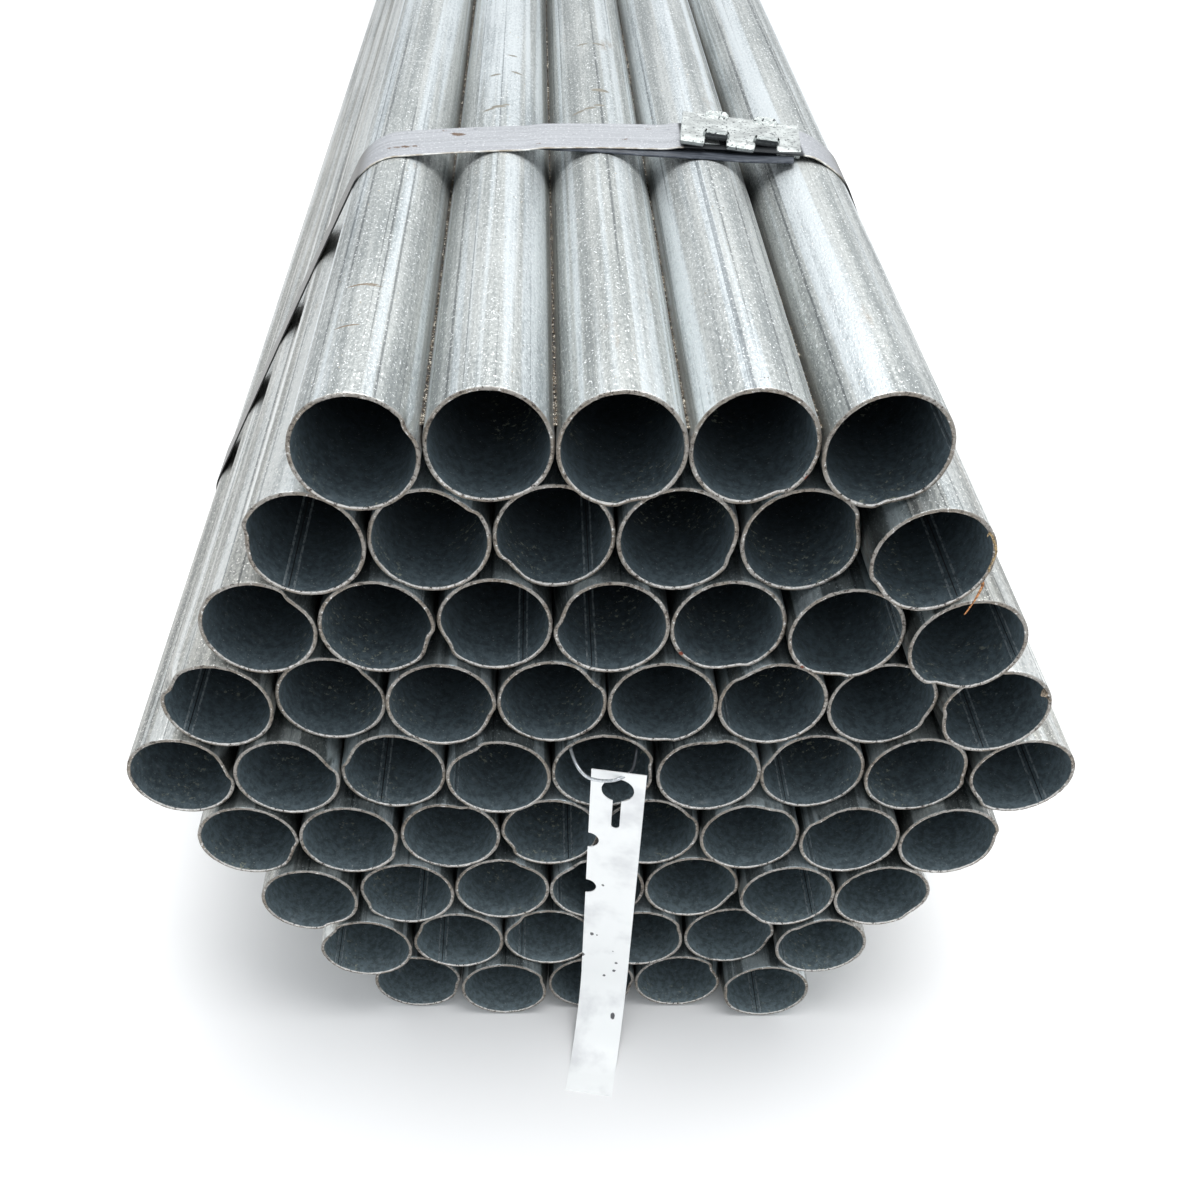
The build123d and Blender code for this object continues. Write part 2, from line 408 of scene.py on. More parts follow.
def weathering_group():
    """The shared pattern of drawn streaks, grain, flecks, stains and scratches along Y."""
    name = "Zinc Weathering"
    if name in bpy.data.node_groups:
        return bpy.data.node_groups[name]
    group = bpy.data.node_groups.new(name, "ShaderNodeTree")
    face = group.interface
    face.new_socket("Vector", in_out="INPUT", socket_type="NodeSocketVector")
    for label, value in (("Streak Scale", 1.0), ("Grain Scale", 1.0), ("Stain Level", 0.62)):
        face.new_socket(label, in_out="INPUT", socket_type="NodeSocketFloat").default_value = value
    for label in ("Tone", "Band", "Line", "Fleck", "Stain", "Scratch", "Height"):
        face.new_socket(label, in_out="OUTPUT", socket_type="NodeSocketFloat")

    paint = Paint(group)
    source = paint.add("NodeGroupInput", {}).outputs
    wide, fine = [
        paint.add("ShaderNodeVectorMath", {0: source["Vector"], "Scale": source[label]}, operation="SCALE")
        .outputs[0]
        for label in ("Streak Scale", "Grain Scale")
    ]
    band = paint.cloud(wide, (95, 0.9, 95), 2.0)
    long_streak = paint.cloud(wide, (240, 3.0, 240), 4.0)
    thin_streak = paint.cloud(wide, (700, 14, 700))
    line = paint.cloud(wide, (430, 1.3, 430), 1.0)
    patch = paint.cloud(wide, (30, 11, 30), 4.0)
    grain = paint.cloud(fine, (820, 330, 820), 3.0, 0.75)
    fleck = paint.cloud(fine, (1250, 700, 1250), 1.0)
    stain = paint.cloud(wide, (42, 12, 42), 5.0, 0.65)
    scratch = paint.cloud(fine, (26, 850, 26), 1.0)
    tone = paint.total((band, 0.32), (long_streak, 0.30), (thin_streak, 0.16), (patch, 0.20), (grain, 0.33))
    soaked = paint.ramp(paint.math("SUBTRACT", stain, source["Stain Level"]), 0.0, 0.16)
    height = paint.total((grain, 0.8), (long_streak, 0.3), (thin_streak, 0.4), (line, -0.15), (fleck, 0.15))
    paint.add("NodeGroupOutput", {
        "Tone": paint.ramp(tone, 0.54, 0.755),
        "Band": paint.ramp(band, 0.47, 0.54),
        "Line": paint.ramp(line, 0.63, 0.69),
        "Fleck": paint.ramp(fleck, 0.63, 0.71),
        "Stain": paint.total((soaked, 0.75)),
        "Scratch": paint.ramp(scratch, 0.74, 0.80),
        "Height": height,
    })
    return group


def faded(colour, share):
    """A darker or lighter share of a colour."""
    return tuple(share * part for part in colour)


def zinc_material(colours):
    """Galvanised outside of the pipes: streaks, bluish bands, flecks and stains, dirt with painted shade on
    the sides, and painted shade on the flanks and between neighbouring pipes.
    """
    paint = new_paint("galvanised_outside", colours.zinc_shade)
    wear = paint.weathered(1.0, 1.0, 0.63)
    band, height = wear["Band"], wear["Height"]
    paint.lay(wear["Tone"], colours.zinc)
    warm = paint.blend(1.0, paint.base, (0.84, 0.815, 0.78), "MULTIPLY")
    paint.base = paint.blend(band, warm, paint.base)
    paint.layer(paint.attribute("pipe_tone"), 0.0, 1.0, (0.90, 0.90, 0.89), "MULTIPLY")
    paint.lay(wear["Line"], (0.50, 0.51, 0.52), "MULTIPLY")
    paint.lay(wear["Fleck"], (0.96, 0.98, 0.98))
    paint.lay(wear["Stain"], colours.stain)
    paint.lay(wear["Scratch"], (0.80, 0.81, 0.80))
    level = paint.math("ABSOLUTE", paint.facing())
    # Dirt and painted shade: brownish dark on surfaces that face sideways, broken up by the grain
    grime_and_shade = paint.math("MULTIPLY", paint.ramp(level, 0.55, 0.05), paint.ramp(height, 0.55, 0.85))
    paint.lay(grime_and_shade, (0.22, 0.205, 0.18))
    # Painted shade: the sides of the pipes are darkened where they face sideways, less so in the bands
    side_shade = paint.math("MULTIPLY", paint.ramp(level, 0.80, 0.30), paint.math("SUBTRACT", 1.0, band))
    paint.lay(side_shade, (0.66, 0.66, 0.65), "MULTIPLY")
    # Painted shade: the pipes out on the bundle's flanks are darkened and warmed
    flank = paint.math("ABSOLUTE", paint.split(paint.here())["X"])
    paint.layer(flank, 0.114, 0.134, (0.90, 0.865, 0.83), "MULTIPLY")
    paint.mark(RING_MARKS, (0.27, 0.21, 0.15), (1, 9, 0.3), 2.4, 700.0)
    paint.mark(SCUFF_MARKS, (0.28, 0.26, 0.215), (1, 2.1, 0.3), 3.8, 1100.0)
    # Painted shade: faces between neighbouring pipes, where pipe_open is 0, are darkened and made bluish
    between_shade_tint = paint.blend(band, (0.32, 0.36, 0.38), (0.64, 0.69, 0.71))
    between_shaded = paint.blend(1.0, paint.base, between_shade_tint, "MULTIPLY")
    paint.base = paint.blend(paint.attribute("pipe_open"), between_shaded, paint.base)
    polish = paint.add("ShaderNodeMapRange", {"Value": wear["Tone"], "To Min": 0.48, "To Max": 0.32})
    return paint.surface(0.72, polish.outputs["Result"], (height, 0.0007, 0.75))


def rim_material(name, base_colour, torn, lip):
    """Sheared edge: tan steel with brown and bright torn spots, and a painted highlight where it faces up."""
    paint = new_paint(name, base_colour)
    small = paint.cloud(paint.here(), 620.0, 4.0, 0.75)
    paint.layer(paint.cloud(paint.here(), 75.0), 0.40, 0.62, (0.33, 0.312, 0.285))
    # Painted highlight: lighter where the rim faces up, by the share that lip gives
    painted_glint = paint.math("MULTIPLY", paint.ramp(paint.facing(), 0.05, 0.45), lip)
    paint.lay(painted_glint, (0.80, 0.79, 0.76))
    paint.layer(small, torn, torn + 0.07, (0.88, 0.88, 0.86))
    paint.layer(small, 0.47, 0.38, (0.06, 0.048, 0.042))
    paint.mark(RIM_RUST, (0.20, 0.05, 0.025), (1, 0, 1), 1.2)
    return paint.surface(0.55, 0.36, (small, 0.0010, 0.9))


def bore_material(colours):
    """Dark blue-grey inside of the pipes: mottled and dusty, with pale specks and smudges; painted shade
    darkens it deeper in, and painted light brightens the mouths of the lower pipes.
    """
    paint = new_paint("dark_bore", faded(colours.bore, 0.55))
    here = paint.here()
    mottle = paint.cloud(here, 330.0, 4.0, 0.7)
    dust = paint.cloud(here, 62.0, 5.0, 0.68)
    speck = paint.cloud(here, 950.0, 2.0, 0.6)
    dirt = paint.cloud(here, 420.0, 3.0, 0.7)
    patch = paint.cloud(here, 22.0, 1.0)
    place = paint.split(here)
    paint.layer(mottle, 0.36, 0.64, colours.bore)
    paint.layer(dust, 0.62, 0.80, (0.30, 0.34, 0.35))
    near_mouth = paint.ramp(paint.math("ABSOLUTE", place["Y"]), BORE_DARK, BORE_PALE)
    # Painted shade: the bore is darkened deeper in from its mouth
    deep = paint.blend(1.0, paint.base, (0.30, 0.30, 0.32), "MULTIPLY")
    paint.base = paint.blend(near_mouth, deep, paint.base)
    # Painted light: the mouths of pipes low in the bundle are lightened
    low_mouth_light = paint.math("MULTIPLY", paint.ramp(place["Z"], 0.26, 0.03), near_mouth)
    paint.lay(low_mouth_light, paint.blend(1.0, paint.base, (1.55, 1.5, 1.45), "MULTIPLY"))
    paint.layer(speck, 0.68, 0.72, (0.38, 0.42, 0.41))
    both = paint.math("MULTIPLY", paint.ramp(dirt, 0.60, 0.64), paint.ramp(patch, 0.54, 0.64))
    paint.lay(both, (0.36, 0.385, 0.315))
    return paint.surface(0.15, 0.6, (mottle, 0.0008, 0.5))


def ridge_material():
    """The two pale, specked ridges of a weld, inside a pipe."""
    paint = new_paint("weld_ridge", (0.09, 0.115, 0.13))
    paint.layer(paint.cloud(paint.here(), (700, 380, 700), 3.0, 0.7), 0.36, 0.60, (0.34, 0.39, 0.41))
    return paint.surface(0.2, 0.5)


def groove_material():
    """The dark line between the two ridges of a weld: painted shade in the shallow groove."""
    paint = new_paint("weld_groove", (0.008, 0.008, 0.01))
    paint.lay(paint.weathered(2.0, 1.0, 0.70)["Tone"], (0.03, 0.03, 0.032))
    return paint.surface(0.0, 0.7)


def shade_under_seal(paint):
    """Darkens the strap in the shade of its seal, under the notches and the folded lugs."""
    low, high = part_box("strap_seal_1")
    place = paint.split(paint.here())
    begun = paint.ramp(place["X"], low.x - 0.5 * MM, low.x + 1.0 * MM)
    ended = paint.ramp(place["X"], high.x + 0.5 * MM, high.x - 1.0 * MM)
    inside = paint.math("MULTIPLY", begun, ended)
    paint.lay(paint.math("MULTIPLY", inside, paint.ramp(place["Z"], 0.378, 0.382)), (0.03, 0.033, 0.036))


def strap_material(colours):
    """Smooth lavender-grey strap steel, with scuffs and rust spots, and painted shade where it runs down."""
    paint = new_paint("strap_steel", faded(colours.strap, 0.80))
    grain = paint.strap_cloud((800, 800, 1), 3.0, 0.7)
    paint.layer(paint.strap_cloud((9, 420, 1)), 0.35, 0.65, colours.strap)
    paint.layer(grain, 0.56, 0.66, (0.62, 0.63, 0.64))
    paint.layer(paint.strap_cloud((150, 260, 1), 5.0, 0.7), 0.60, 0.66, (0.25, 0.26, 0.28))
    paint.layer(paint.strap_cloud((90, 160, 1), 4.0, 0.6), 0.72, 0.76, (0.24, 0.15, 0.09))
    paint.mark(STRAP_RUST, (0.13, 0.082, 0.052), (0.6, 1, 0), 4.6, 1100.0)
    # Painted shade: darker and browner where the strap faces sideways down the flanks
    paint.layer(paint.facing(), 0.92, 0.62, (0.175, 0.170, 0.160))
    shade_under_seal(paint)
    return paint.surface(0.45, 0.44, (grain, 0.0004, 0.5))


def tail_material():
    """The strap's loose end in dark bluish steel, a darker copy of the strap painted as the shade of the band
    and seal above it.
    """
    paint = new_paint("strap_tail", (0.038, 0.046, 0.060))
    paint.layer(paint.strap_cloud((120, 700, 1), 4.0, 0.7), 0.40, 0.68, (0.112, 0.124, 0.145))
    return paint.surface(0.5, 0.42)


def edge_material():
    """Cut edge of a strap, tan with pale worn spots, and painted dark as shade below the bundle's top and
    under its seal.
    """
    paint = new_paint("strap_edge", (0.42, 0.37, 0.30))
    paint.layer(paint.strap_cloud((90, 400, 1)), 0.40, 0.62, (0.80, 0.80, 0.77))
    # Painted shade: nearly black below the top of the bundle, down the flanks
    paint.layer(paint.split(paint.here())["Z"], 0.384, 0.376, (0.03, 0.03, 0.03))
    shade_under_seal(paint)
    return paint.surface(0.4, 0.4)


def seal_material():
    """Whitish galvanised seal with dark pits and faint grey wear, with a painted highlight on its folds and
    painted shade where it faces down.
    """
    paint = new_paint("seal_zinc", (0.28, 0.295, 0.29))
    here, facing = paint.here(), paint.facing()
    paint.layer(paint.cloud(here, 120.0, 4.0, 0.6), 0.35, 0.65, (0.46, 0.485, 0.475))
    # Painted highlight: lighter where the surface turns away from facing straight up, on the folds and lugs
    paint.layer(facing, 0.97, 0.75, (0.50, 0.535, 0.52))
    paint.layer(paint.cloud(here, 620.0, 2.0, 0.6), 0.405, 0.355, (0.055, 0.06, 0.065))
    paint.layer(paint.cloud(here, (330, 620, 330), 4.0, 0.7), 0.67, 0.71, (0.17, 0.175, 0.175))
    # Painted shade: darker where the seal faces down
    paint.layer(facing, -0.10, -0.45, (0.11, 0.12, 0.125))
    return paint.surface(0.3, 0.5, (paint.cloud(here, 420.0, 3.0, 0.6), 0.0012, 0.8))


def wire_material():
    """Drawn spring wire, bright outside, with painted shade on the leg that lies in the pipe's shade."""
    paint = new_paint("spring_wire", (0.36, 0.38, 0.40))
    wear = paint.weathered(2.0, 1.5, 0.75)
    paint.lay(wear["Tone"], (0.68, 0.71, 0.73))
    # Painted shade: the leg beyond 8 mm to the right is darkened
    paint.layer(paint.split(paint.here())["X"], 0.008, 0.0125, (0.045, 0.05, 0.056))
    return paint.surface(0.7, 0.32, (wear["Height"], 0.0002, 0.3))


def tag_material(colours):
    """White plastic film, faintly smudged, with dirt specks towards its foot."""
    paint = new_paint("tag_film", colours.tag)
    smudge = paint.cloud(paint.here(), 38.0, 4.0)
    paint.layer(smudge, 0.48, 0.74, (0.70, 0.71, 0.72))
    paint.mark(TAG_SPECKS, (0.09, 0.09, 0.095), (1, 0, 0.8), 1.6)
    return paint.surface(0.0, 0.42, (smudge, 0.001, 0.25))


def litter_material(name, colour):
    """Dry dirt or plant matter, lighter and darker in turns."""
    paint = new_paint(name, faded(colour, 0.22))
    paint.layer(paint.cloud(paint.here(), 1100.0, 3.0, 0.7), 0.40, 0.60, colour)
    return paint.surface(0.0, 0.7)


def floor_material(colour):
    """Plain pale floor."""
    paint = new_paint("pale_floor", colour)
    paint.lay(paint.cloud(paint.here(), 3.0, 2.0), faded(colour, 0.97))
    return paint.surface(0.0, 0.9)


def pipe_template(sizes, length):
    """One straight pipe along Y from its near end, made by spinning the wall's section."""
    bm = bmesh.new()
    outer = sizes.outside / 2
    inner = outer - sizes.wall
    lip = (
        (outer, 0.30 * MM),
        (outer - 0.16 * sizes.wall, 0.06 * MM),
        (outer - 0.50 * sizes.wall, 0.0),
        (outer - 0.86 * sizes.wall, 0.10 * MM),
        (inner, 0.42 * MM),
    )
    near = [bm.verts.new((r, d, 0)) for r, d in lip]
    far = [bm.verts.new((r, length - d, 0)) for r, d in reversed(lip)]
    loop = near + far
    for first, second in zip(loop, loop[1:] + loop[:1]):
        bm.edges.new((first, second))
    bmesh.ops.spin(
        bm, geom=bm.verts[:] + bm.edges[:], cent=(0, 0, 0), axis=(0, 1, 0), dvec=(0, 0, 0),
        angle=2 * math.pi, steps=sizes.segments, use_merge=True,
    )
    bmesh.ops.remove_doubles(bm, verts=bm.verts, dist=1e-6)
    for share in DENT_CUTS:
        for place in (share * sizes.dent_reach, length - share * sizes.dent_reach):
            bmesh.ops.bisect_plane(
                bm, geom=bm.verts[:] + bm.edges[:] + bm.faces[:], dist=1e-7,
                plane_co=(0, place, 0), plane_no=(0, 1, 0),
            )
    bmesh.ops.recalc_face_normals(bm, faces=bm.faces)
    for face in bm.faces:
        face.smooth = True
        middle = face.calc_center_median()
        radius = math.hypot(middle.x, middle.z)
        if abs(face.normal.y) > 0.15:
            face.material_index = RIM_OUTER if radius > outer - sizes.wall / 2 else RIM_INNER
        elif radius < (outer + inner) / 2:
            face.material_index = BORE
    weld_bead(bm, sizes, inner, length)
    return bm


def weld_bead(bm, sizes, inner, length):
    """A low double ridge with a groove painted dark as shade, along the bore wall at the right."""
    half = sizes.weld / 2
    side = ((1.0, -0.1), (1.0, 0.02), (0.80, 0.28), (0.56, 0.10), (0.09, 0.05))
    profile = [(-across * half, rise * MM) for across, rise in side]
    profile += [(across * half, rise * MM) for across, rise in reversed(side)]
    verts = [bm.verts.new((inner - rise, WELD_INSET, across)) for across, rise in profile]
    end = bm.faces.new(verts)
    grown = bmesh.ops.extrude_face_region(bm, geom=[end])["geom"]
    moved = [item for item in grown if isinstance(item, bmesh.types.BMVert)]
    bmesh.ops.translate(bm, verts=moved, vec=(0, length - 2 * WELD_INSET, 0))
    sides = {face for vert in verts + moved for face in vert.link_faces}
    bmesh.ops.recalc_face_normals(bm, faces=list(sides))
    for face in sides:
        across = abs(face.calc_center_median().z) / half
        if abs(face.normal.y) > 0.5 or across > 0.6:
            face.material_index = RIDGE
        else:
            face.material_index = GROOVE if across < 0.05 else BORE


def pipe_places(node, sizes):
    """The middle, near end and far end of each pipe of a row, from its CAD node."""
    low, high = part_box(node)
    first = low.x + sizes.outside / 2
    count = round((high.x - low.x - sizes.outside) / sizes.pitch) + 1
    ends = [[math.inf, -math.inf] for _ in range(count)]
    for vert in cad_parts[node].data.vertices:
        index = min(count - 1, max(0, round((vert.co.x - first) / sizes.pitch)))
        ends[index][0] = min(ends[index][0], vert.co.y)
        ends[index][1] = max(ends[index][1], vert.co.y)
    return [(first + index * sizes.pitch, *ends[index], (low.z + high.z) / 2) for index in range(count)]


def press_in(sizes, x, z, depth, dent):
    """Moves a wall point inwards where the shear pressed the pipe's end."""
    angle, deep, left, right = dent
    off = (math.degrees(math.atan2(z, x)) - angle + 180) % 360 - 180
    width = left if off < 0 else right
    push = deep * math.exp(-(abs(off / width) ** DENT_ROUND))
    push *= (1 - depth / sizes.dent_reach) ** DENT_INWARDS
    radius = math.hypot(x, z)
    return x * (1 - push / radius), z * (1 - push / radius)


class PIPES_OT_pipes(bpy.types.Operator):
    """Build the nine rows of pipes with sheared, dented ends and weld beads"""

    bl_idname = "pipe_bundle.pipes"
    bl_label = "Build Pipes"

    def execute(self, context):
        sizes = context.scene.pipe_sizes
        colours = context.scene.pipe_colours
        materials = [
            zinc_material(colours),
            # The outside rim takes a little of the painted highlight; the inside rim, a lighter copy of the
            # rim colour, takes most of it
            rim_material("sheared_rim_outside", colours.rim, 0.62, 0.16),
            bore_material(colours),
            groove_material(),
            rim_material("sheared_rim_inside", faded(colours.rim, 1.5), 0.57, 0.9),
            ridge_material(),
        ]
        template = None
        for row in range(ROWS):
            node = f"pipes_row_{row + 1}"
            places = pipe_places(node, sizes)
            if len(places) != len(DENT_ANGLES[row]):
                raise RuntimeError(f"{node} has {len(places)} pipes, and the dent table has another number")
            if template is None:
                shape = pipe_template(sizes, places[0][2] - places[0][1])
                template = bpy.data.meshes.new("pipe_template")
                shape.to_mesh(template)
                shape.free()
            bm = bmesh.new()
            layers = [bm.faces.layers.float.new(name) for name in ("pipe_tone", "pipe_open")]
            for index, (x, near, far, z) in enumerate(places):
                self.add_pipe(bm, template, sizes, layers, row, index, x, near, far, z)
            finished(bm, f"row_{row + 1}_pipes", materials, [node])
        bpy.data.meshes.remove(template)
        return {"FINISHED"}

    def add_pipe(self, bm, template, sizes, layers, row, index, x, near, far, z):
        """Sets one pipe into its row, turned to its weld and dented at both ends."""
        chance = random.Random(100 * row + index)
        start_vert, start_face = len(bm.verts), len(bm.faces)
        bm.from_mesh(template)
        bm.verts.ensure_lookup_table()
        bm.faces.ensure_lookup_table()
        verts = bm.verts[start_vert:]
        angle = DENT_ANGLES[row][index]
        weld = math.radians(angle + 87 + chance.uniform(-4, 4) + WELD_TURNS.get((row, index), 0))
        bmesh.ops.rotate(bm, verts=verts, cent=(0, 0, 0), matrix=Matrix.Rotation(-weld, 3, "Y"))
        widths = [9.0 + chance.uniform(-1, 2), 24.0 + chance.uniform(-4, 8)]
        if chance.random() < 0.5:
            widths.reverse()
        dent = (angle, sizes.dent * chance.uniform(0.75, 1.25), *widths)
        if row == 0:
            angle, deep, *widths = TOP_DENTS[index]
            dent = (angle, deep * MM, *widths)
        length = far - near
        for vert in verts:
            side = vert.co
            depth = min(side.y, length - side.y)
            if depth < sizes.dent_reach:
                side.x, side.z = press_in(sizes, side.x, side.z, depth, dent)
                if depth < RIM_DEPTH:
                    x_fine, z_fine = side.x * BURR_FINENESS, side.z * BURR_FINENESS
                    rough = noise.noise(Vector((x_fine + 9 * index, row * 7.0, z_fine)))
                    side.y += (1 if side.y < length / 2 else -1) * sizes.burr * abs(rough)
                    x_fine, z_fine = side.x * TEAR_FINENESS, side.z * TEAR_FINENESS
                    tear = noise.noise(Vector((x_fine, 40.0 + index, z_fine + row)))
                    left = 1 - TEAR_SHARE * max(0.0, tear)
                    side.x *= left
                    side.z *= left
        bmesh.ops.translate(bm, verts=verts, vec=(x, near, z))
        value = chance.uniform(0.0, 1.0)
        bm.faces.ensure_lookup_table()
        tone, opened = layers
        beside = [held(sizes, row, x, direction) for direction in range(6)]
        for face in bm.faces[start_face:]:
            middle = face.calc_center_median()
            sector = int(math.degrees(math.atan2(middle.z - z, middle.x - x)) % 360 // 60)
            face[tone] = value
            # pipe_open is 0 on faces with neighbours on both sides, which the outside material paints with
            # shade
            face[opened] = 0.0 if beside[sector] and beside[(sector + 1) % 6] else 1.0


def held(sizes, row, x, direction):
    """Whether a neighbouring pipe lies in a direction, counted in steps of 60 degrees from the right."""
    turn = math.radians(60 * direction)
    other = row - round(math.sin(turn) / math.sin(math.radians(60)))
    count = ROWS - abs(other - ROWS // 2)
    reach = (count - 1) / 2 + 0.1
    return 0 <= other < ROWS and abs(x / sizes.pitch + math.cos(turn)) < reach


def dress(node, material):
    """Gives a CAD node that keeps its shape a better material."""
    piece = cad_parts[node]
    piece.data.materials.clear()
    piece.data.materials.append(material)


def sheet(bm, rows, thickness, closed=False, slots=(0, 1)):
    """Builds a sheet of even thickness on a grid of points, with rounded cut edges and its own UV map."""
    layers = bm.loops.layers.uv
    uv = layers.get(STRAP_UV) or layers.new(STRAP_UV)
    count, width = len(rows), len(rows[0])
    middle = width // 2
    along = [0.0]
    for first, second in zip(rows, rows[1:] + rows[:1]):
        along.append(along[-1] + (second[middle] - first[middle]).length)
    across = [0.0]
    for first, second in zip(rows[0], rows[0][1:]):
        across.append(across[-1] + (second - first).length)

    def facing(i, j):
        before = rows[i - 1] if closed or i else rows[i]
        after = rows[(i + 1) % count] if closed or i < count - 1 else rows[i]
        side = rows[i][min(j + 1, width - 1)] - rows[i][max(j - 1, 0)]
        return (after[j] - before[j]).cross(side).normalized()

    under = [[bm.verts.new(point) for point in row] for row in rows]
    over = [
        [bm.verts.new(point + facing(i, j) * thickness) for j, point in enumerate(row)]
        for i, row in enumerate(rows)
    ]
    made_faces = []

    def face(corners, slot):
        made = bm.faces.new([vert for vert, place in corners])
        made_faces.append(made)
        made.smooth = True
        made.material_index = slots[slot]
        for loop, (vert, place) in zip(made.loops, corners):
            loop[uv].uv = place

    def rim(path):
        """Closes the edge along a path of grid places with a rounded strip."""
        spots = []
        for i, j, step in path:
            top, bottom = over[i % count][j], under[i % count][j]
            inside = rows[(i + step[0]) % count][min(max(j + step[1], 0), width - 1)]
            away = (rows[i % count][j] - inside).normalized()
            bulge = bm.verts.new((top.co + bottom.co) / 2 + away * EDGE_BULGE * thickness)
            spots.append((top, bulge, bottom, (along[i], across[j])))
        if closed:
            spots[-1] = (*spots[0][:3], spots[-1][3])
        for (a, b, c, p), (d, e, f, q) in zip(spots, spots[1:]):
            face(((a, p), (b, p), (e, q), (d, q)), 1)
            face(((b, p), (c, p), (f, q), (e, q)), 1)

    last = count if closed else count - 1
    for i in range(last):
        k = (i + 1) % count
        for j in range(width - 1):
            places = ((along[i], across[j]), (along[i + 1], across[j]),
                      (along[i + 1], across[j + 1]), (along[i], across[j + 1]))
            for layer, turn in ((over, 1), (under, -1)):
                corners = ((layer[i][j], places[0]), (layer[k][j], places[1]),
                           (layer[k][j + 1], places[2]), (layer[i][j + 1], places[3]))
                face(corners[::turn], 0)
    turns = range(last + 1)
    rim([(i, width - 1, (0, -1)) for i in turns])
    rim([(i, 0, (0, 1)) for i in (turns if closed else reversed(turns))])
    if not closed:
        rim([(0, j, (1, 0)) for j in range(width)])
        rim([(count - 1, j, (-1, 0)) for j in range(width - 1, -1, -1)])
    bmesh.ops.recalc_face_normals(bm, faces=made_faces)
    for edge in {edge for made in made_faces for edge in made.edges}:
        edge.smooth = edge.calc_face_angle(0.0) < SMOOTH_BELOW


def smooth_step(value, low, high):
    """Rises from 0 to 1 between two values, with soft ends."""
    share = min(1.0, max(0.0, (value - low) / (high - low)))
    return share * share * (3 - 2 * share)


def around(angle):
    """A direction in the plane across the pipes, in degrees from the right."""
    return Vector((math.cos(math.radians(angle)), math.sin(math.radians(angle))))


def strap_route(sizes, straps, seal_middle, seal_half):
    """Places of the strap round the bundle, in the plane across the pipes."""
    far = (ROWS // 2) * sizes.pitch
    reach = sizes.outside / 2 + straps.clearance
    shoulder = far * math.sqrt(3) / 2
    centre = reach + straps.thickness + shoulder
    seal_start, seal_end = seal_middle - seal_half, seal_middle + seal_half
    tail_start = seal_start - straps.tail_lead
    route = []
    corners = (-120, 180, 120, 60, 0, -60)
    for number, corner in enumerate(corners):
        middle = around(corner) * far
        ahead = around(corners[(number + 1) % 6]) * far
        for step in range(11):
            normal = around(corner + 30 - 6 * step)
            route.append((middle + normal * reach, normal))
        cuts = 48 if corner == 120 else 8
        for step in range(1, cuts):
            route.append((middle.lerp(ahead, step / cuts) + normal * reach, normal))
    places = []
    for (x, z), normal in route:
        if z > shoulder:
            z += straps.thickness * smooth_step(x, tail_start - straps.ramp, tail_start)
            z += (straps.lift - straps.thickness) * smooth_step(x, seal_start - straps.ramp, seal_start)
            z -= straps.lift * smooth_step(x, seal_end, seal_end + 1.6 * straps.ramp)
        places.append((x, z + centre))
    return places


def strap_bow(straps, x, z):
    """How far the strap lies behind its middle line: it slipped back on top and forward at the shoulders."""
    beyond = abs(x) - straps.shoulder
    if beyond < 0:
        slipped = straps.crown - (straps.crown + straps.bow) * (abs(x) / straps.shoulder) ** 2
    else:
        slipped = -straps.bow * math.exp(-((beyond / straps.shoulder_fade) ** 2))
    return slipped * smooth_step(z, *BOW_HEIGHTS)


